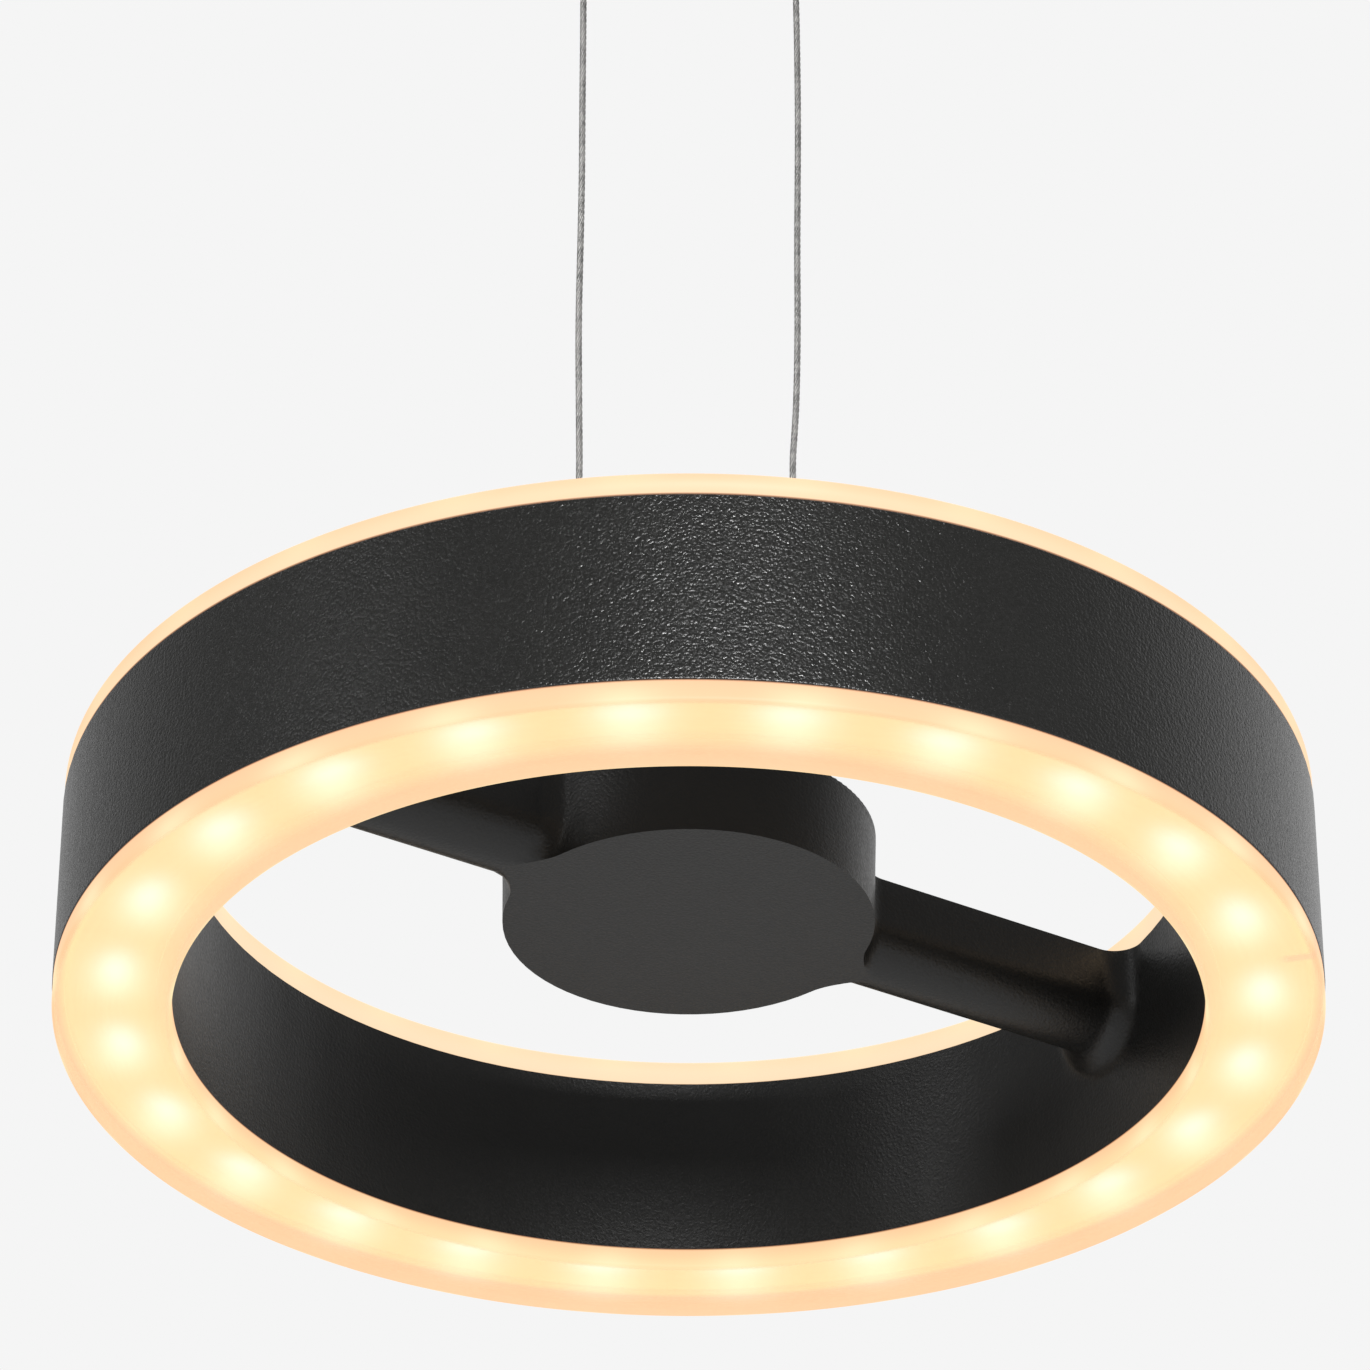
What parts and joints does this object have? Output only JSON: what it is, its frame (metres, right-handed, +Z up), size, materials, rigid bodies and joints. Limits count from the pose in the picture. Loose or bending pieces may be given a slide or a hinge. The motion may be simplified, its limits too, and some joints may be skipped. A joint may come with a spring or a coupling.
{
  "type": "pendant light",
  "caption": "Ring pendant light: a black channel ring with glowing opal diffusers above and below, a bridge with a round hub, two fine suspension wires and a round canopy.",
  "frame": {"origin": "on the ceiling, in the middle of the strap's top face between its two slots", "axes": "+Z up out of the strap into the ceiling, the light hangs towards -Z; +X along the bridge of the ring, through both wires"},
  "size_m": [0.22, 0.22, 0.318],
  "materials": {
    "powder_coat": "die-cast aluminium with a matt black fine-texture powder coat",
    "canopy_coat": "drawn steel with the same matt black powder coat",
    "zinc_steel": "bright zinc plate",
    "black_screw": "black zinc plate",
    "brass": "plain brass",
    "nickel_brass": "nickel-plated turned brass",
    "ball_steel": "bright hardened steel",
    "wire_rope": "bare stranded steel wire rope",
    "white_nylon": "natural nylon",
    "driver_plastic": "pale moulded plastic",
    "circuit_board": "green glass-fibre board",
    "ferrite": "dark grey ferrite and sleeves",
    "copper_coil": "enamelled copper winding",
    "foam_pad": "double-sided foam tape",
    "lead_sheath": "silicone-sheathed lead",
    "earth_sheath": "green and yellow sheath",
    "bushing_rubber": "black rubber",
    "board_aluminium": "white-faced aluminium board",
    "lamp_phosphor": "warm white light-emitting diode",
    "opal_acrylic": "satin opal acrylic, lit warm from inside"
  },
  "bodies": {
    "canopy": {"canopy_cover": "canopy_coat", "ceiling_strap": "zinc_steel", "canopy_screws": "black_screw", "earth_tag": "brass", "earth_screw": "zinc_steel", "mains_terminal": "white_nylon", "terminal_screws": "zinc_steel", "driver_case": "driver_plastic", "driver_lid": "driver_plastic", "driver_board": "circuit_board", "transformer_core": "ferrite", "transformer_coil": "copper_coil", "driver_capacitors": "ferrite", "adhesive_pads": "foam_pad", "seat_insulators": "white_nylon", "insulating_washers": "white_nylon", "output_tags": "brass", "seat_nuts": "nickel_brass", "swivel_seats": "nickel_brass", "mains_leads": "lead_sheath", "earth_lead": "earth_sheath", "output_leads": "lead_sheath"},
    "gripper_left": {"gripper_body_left": "nickel_brass", "gripper_cap_left": "nickel_brass", "gripper_cage_left": "brass", "gripper_spring_left": "ball_steel", "gripper_balls_left": "ball_steel"},
    "gripper_right": {"gripper_body_right": "nickel_brass", "gripper_cap_right": "nickel_brass", "gripper_cage_right": "brass", "gripper_spring_right": "ball_steel", "gripper_balls_right": "ball_steel"},
    "nib_left": {"release_nib_left": "nickel_brass"},
    "nib_right": {"release_nib_right": "nickel_brass"},
    "wires": {"suspension_wire_left": "wire_rope", "suspension_wire_right": "wire_rope", "wire_stops": "nickel_brass", "wire_end_balls": "nickel_brass"},
    "ring": {"ring_frame": "powder_coat", "bridge_cover_left": "powder_coat", "bridge_cover_right": "powder_coat", "hub_cover": "powder_coat", "hub_cover_screws": "black_screw", "wire_bushings": "bushing_rubber", "anchor_block": "white_nylon", "anchor_screws": "zinc_steel", "anchor_sockets": "brass", "lamp_board_lower": "board_aluminium", "lamp_board_upper": "board_aluminium", "lamps_lower": "lamp_phosphor", "lamps_upper": "lamp_phosphor", "board_screws_lower": "zinc_steel", "board_screws_upper": "zinc_steel", "board_links": "brass", "diffuser_lower": "opal_acrylic", "diffuser_upper": "opal_acrylic", "bridge_leads": "lead_sheath", "lead_grommets": "bushing_rubber"}
  },
  "joints": [
    {"name": "swing", "type": "hinge", "parent": "canopy", "child": "gripper_left", "pos_m": [-0.024, 0, -0.04029], "axis": [1, 0, 0], "range_deg": [-12, 12]},
    {"name": "swing_right", "type": "hinge", "parent": "canopy", "child": "gripper_right", "pos_m": [0.024, 0, -0.04029], "axis": [1, 0, 0], "range_deg": [-12, 12]},
    {"name": "height", "type": "slide", "parent": "gripper_left", "child": "wires", "axis": [0, 0, 1], "range_m": [-0.011, 0.0075]},
    {"name": "ring_tilt", "type": "hinge", "parent": "wires", "child": "ring", "pos_m": [0, 0, -0.283], "axis": [1, 0, 0], "range_deg": [-12, 12]},
    {"name": "release_left", "type": "slide", "parent": "gripper_left", "child": "nib_left", "axis": [0, 0, 1], "range_m": [0, 0.002], "stiffness_N_per_m": 400, "springref_m": -0.001},
    {"name": "release_right", "type": "slide", "parent": "gripper_right", "child": "nib_right", "axis": [0, 0, 1], "range_m": [0, 0.002], "stiffness_N_per_m": 400, "springref_m": -0.001}
  ],
  "couplings": [
    {"joint": "swing_right", "follows": "swing", "ratio": 1}
  ]
}
